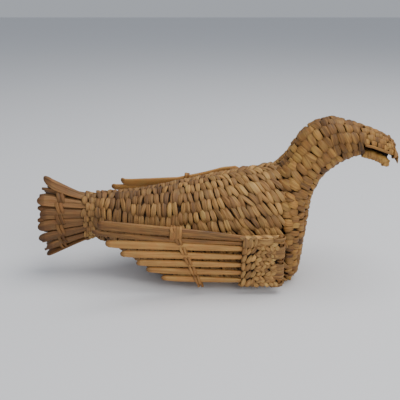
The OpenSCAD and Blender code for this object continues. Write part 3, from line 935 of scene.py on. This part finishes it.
def patch_edges(pile, space, side):
    """A flat core inside the patch, dark as painted shade between the stitches, twisted strands along its
    edges, and wraps round the hinge stake.

    The wraps keep clear of the lashings.
    """
    back, front, top = PATCH["back"], PATCH["front"], PATCH["top"]
    line = space.place(xyz(np.linspace(back + 1, front, 4), 0, top / 2))
    core = strand_rings(line, space.aim((0, 1, 0)), (top / 2 - 1) * MM, half_t=1.4 * MM, flat=0.3)
    # painted shade: the core takes the darkest tone and a strong darkening
    pile.tube(core, tone=0.0, edge=1.6)
    for z in (top - 0.6, 0.9):
        for strand in (0, math.pi):
            x = np.linspace(back - 0.5, front - 1, 60)
            wave = x * 0.75 + strand
            line = space.place(xyz(x, 1.5 * np.cos(wave), z + 0.8 * np.sin(wave)))
            facing = xyz(0, np.cos(wave), np.sin(wave) + 0.4) @ space.turn.T
            rings = strand_rings(line, unit(facing), 1.7 * MM, half_t=0.7 * MM, ridges=0.15, phase=1.0)
            pile.tube(rings, 0.5 + 0.1 * strand, 0.1)
    for z in np.arange(1.2, top, 2.55):
        if by_lashing(z, 2.5):
            continue
        tilt, reach = rng.uniform(-0.35, 0.35), rng.uniform(4.5, 8.5)
        turn = full_turn(48)
        c, s = np.cos(turn), np.sin(turn)
        # round the stake in front, and flat against both faces of the patch behind it
        x = np.where(c > 0, HINGE_WRAP_RADIUS * c, reach * signed_power(c, 0.7))
        y_behind = np.where(s * side > 0, 3.3, 2.6) * signed_power(s, 0.45)
        y = np.where(c > 0, HINGE_WRAP_RADIUS * s, y_behind)
        out = xyz(np.where(c > 0, c, 0.3 * c), s, 0) @ space.turn.T
        loop(pile, space.place(xyz(x, y, z + tilt * x * 0.5)), out, 1.35, 0.6)


def feather_twining(pile, space, side, top, foot):
    """Two twined pairs down across the feathers, one strand over each feather and one under."""
    top, foot = np.array(top, dtype=float), np.array(foot, dtype=float)
    for offset, start in ((-1.25, 1), (1.25, -1)):
        for strand in (1, -1):
            share = np.linspace(0.04, 1.03, 120)
            wave = math.pi * share * FEATHERS
            y = strand * start * signed_power(np.sin(wave), 0.8) * 2.3
            x = top[0] + (foot[0] - top[0]) * share + offset + strand * 0.25 * np.cos(wave)
            z = top[1] + (foot[1] - top[1]) * share
            line, facing = space.place(xyz(x, y, z)), space.aim((0.15, side, 0.1))
            tone = random_tone(0.5, 0.1)
            rings = strand_rings(line, facing, 1.05 * MM, 0.7 * MM, ridges=0.12, phase=rng.uniform(0, 6))
            pile.tube(rings, tone, 0.6 * np.abs(np.cos(wave)) ** 3)


def wraps(pile, space, places, z_low, z_high, half_t):
    """Loops of leaf bound round one feather, leaning a little forward."""
    turn = full_turn(48)
    for x0 in places:
        tall = (z_high - z_low) / 2 + rng.uniform(0.0, 0.4)
        x = x0 + 0.06 * np.sin(turn) * tall + rng.uniform(-0.2, 0.2)
        y = half_t * signed_power(np.cos(turn), 0.6)
        z = (z_high + z_low) / 2 + tall * signed_power(np.sin(turn), 0.9)
        out = xyz(0, np.cos(turn), np.sin(turn) * 0.6) @ space.turn.T
        loop(pile, space.place(xyz(x, y, z)), out, 1.35, 0.55)


for name, wing in WINGS.items():
    side, body = wing["side"], f"{name}_wing"
    space = WingSpace(**wing)
    feathers = Pile()
    for i in range(1, FEATHERS + 1):
        along, out = space.aim((-1, 0, 0)), space.aim((0, side, 0))
        node = f"{name}_wing_feather_{i}"
        if name == "right" and i == FEATHERS:
            # the top one is two leaves, the broad one lying above the other
            folded_leaf(feathers, node, along, out, step_at=0.8, step=0.4, plump=1.5, part=(-0.36, 0.63),
                        tone=0.44, shorten=5)
            folded_leaf(feathers, node, along, out, step_at=0.7, step=0.4, plump=1.2, part=(0.7, 0.34),
                        tone=0.44, shorten=3)
        else:
            rise = LEFT_RISE.get(i) if name == "left" else None
            folded_leaf(feathers, node, along, out, step_at=rng.uniform(0.55, 0.8), step=0.4, plump=1.5,
                        part=(-0.04, 0.9), rise=rise, tone=0.74)
    feathers.build(f"{name}_wing_feathers", FEATHER, body, "folded_leaf",
                   *[f"{name}_wing_feather_{i}" for i in range(1, FEATHERS + 1)])
    patch = Pile()
    patch_weave(patch, space, side)
    patch_edges(patch, space, side)
    patch.build(f"{name}_wing_patch_weft", WEAVE, body, "woven_leaf", f"{name}_wing_patch")
    twining = Pile()
    feather_twining(twining, space, side, wing["top"], wing["foot"])
    wraps(twining, space, **wing["binding"])
    twining.build(f"{name}_wing_twined_strands", CORD, body, "twined_cord", f"{name}_wing_twining")


# ---------- the lashings and the knots at the beak's tips ----------

LASHING_HALF_W = 0.85


def lashing_strands(name, side, hinge, lean, **rest):
    """Each lashing: a loop round the hinge stake and a twisted leg into the body."""
    tilt = turn_about_x(math.radians(side * lean))
    local = (node_points(f"{name}_wing_lashings") / MM - np.array(hinge)) @ tilt
    pile = Pile()
    turn = full_turn(36)
    for z in LASHINGS:
        near = local[np.abs(local[:, 2] - z) < 3]
        reach = np.abs(near[:, 1]).max()
        radius = np.abs(near[:, 0]).max() - LASHING_HALF_W
        circle = xyz(radius * np.cos(turn), radius * np.sin(turn), z)
        out = xyz(np.cos(turn), np.sin(turn), 0)
        loop(pile, (circle @ tilt.T + hinge) * MM, out @ tilt.T, 0.8, 0.5)
        run = np.linspace(radius, reach, 24)
        for strand in (0, math.pi):
            wave = run * 1.4 + strand
            leg = xyz(0.42 * np.cos(wave), -side * run, z + 0.42 * np.sin(wave))
            facing = tilt @ np.array([0, 0, 1])
            rings = strand_rings((leg @ tilt.T + hinge) * MM, facing, half_w=0.5 * MM, half_t=0.45 * MM)
            pile.tube(rings, 0.5, 0.2)
    pile.build(f"{name}_wing_lashing_strands", CORD, "bird", "twined_cord", f"{name}_wing_lashings")


# the ends of a wing's hinge stake, mm up it
STAKE_ENDS = (-1, 44.5)
for name, wing in WINGS.items():
    lashing_strands(name, **wing)
    stake = Pile()
    space = WingSpace(**wing)
    line = np.linspace(*[space.place([0, 0, z]) for z in STAKE_ENDS], 20)
    facing = space.aim((0, 1, 0))
    rings = strand_rings(line, facing, half_w=1.6 * MM, half_t=1.55 * MM, ridges=0.04, flat=1.0)
    stake.tube(rings, 0.45, 0.1)
    stake.build(f"{name}_wing_stake_leaf", CORD, f"{name}_wing", "stake_leaf", f"{name}_wing_stake")

# node, (x, z) and radius, mm
KNOTS = (("beak_tip_knot", (145.6, 103.7), 1.7), ("jaw_tip_knot", (139.2, 99), 1.3))
turn = full_turn(32)
for node, (x, z), radius in KNOTS:
    knot = Pile()
    for k, lean in enumerate((0.35, -0.45, 0.1)):
        # turns of leaf end bound round the tip, each at its own slant
        rise = radius * np.sin(turn)
        line = xyz(x - 1 + 0.9 * k + lean * rise, 1.3 * radius * np.cos(turn), z + rise) * MM
        loop(knot, line, xyz(0, np.cos(turn), np.sin(turn)), 1.0, 0.6)
    knot.build(node.replace("knot", "wraps"), CORD, "bird", "twined_cord", node)

# the stakes, seen only through the gaps in the weave, are coloured as painted shade
for name in ("body_stakes", "neck_stakes"):
    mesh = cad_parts[name].data
    mesh.materials.clear()
    mesh.materials.append(PAINTED_SHADE)


# ---------- the floor, the light and the camera ----------

def area_light(name, size, power, place, aim, colour):
    """A round lamp that faces aim, so many metres wide and so many watts."""
    light = bpy.data.lights.new(name, "AREA")
    light.shape = "DISK"
    light.size = size
    light.energy = power
    light.color = colour
    holder = bpy.data.objects.new(name, light)
    holder.location = place
    holder.rotation_euler = (Vector(aim) - Vector(place)).to_track_quat("-Z", "Y").to_euler()
    bpy.context.scene.collection.objects.link(holder)


def make_floor():
    mesh = bpy.data.meshes.new("floor")
    mesh.from_pydata([(-3, -3, 0), (3, -3, 0), (3, 5, 0), (-3, 5, 0)], [], [(0, 1, 2, 3)])
    floor = bpy.data.objects.new("floor", mesh)
    bpy.context.scene.collection.objects.link(floor)
    material = bpy.data.materials.new("pale floor")
    material.use_nodes = True
    shader = material.node_tree.nodes["Principled BSDF"]
    shader.inputs["Base Color"].default_value = rgb(222, 223, 226)
    shader.inputs["Roughness"].default_value = 0.85
    mesh.materials.append(material)


make_floor()
area_light("overhead", 1.2, 15, (0.4, 0.0, 1.25), aim=(0, 0, 0.05), colour=(1.0, 0.98, 0.95))
area_light("front fill", 1.0, 8, (0.5, -1.1, 0.7), aim=(0, 0, 0.06), colour=(1.0, 0.97, 0.93))
world = bpy.data.worlds.new("studio")
world.use_nodes = True
world.node_tree.nodes["Background"].inputs["Color"].default_value = (0.82, 0.87, 0.95, 1)
world.node_tree.nodes["Background"].inputs["Strength"].default_value = 0.5
bpy.context.scene.world = world

AIM = Vector((-12.5, 0, 65.6)) * MM
DISTANCE = 480 * MM
ELEVATION = math.radians(20)
SENSOR, LENS_OVER_SENSOR = 36, 1.44
camera_data = bpy.data.cameras.new("camera")
camera_data.sensor_width = SENSOR
camera_data.lens = SENSOR * LENS_OVER_SENSOR
camera = bpy.data.objects.new("camera", camera_data)
back = Vector((0, -math.cos(ELEVATION), math.sin(ELEVATION)))
camera.location = AIM + back * DISTANCE
camera.rotation_euler = (-back).to_track_quat("-Z", "Y").to_euler()
bpy.context.scene.collection.objects.link(camera)
bpy.context.scene.camera = camera
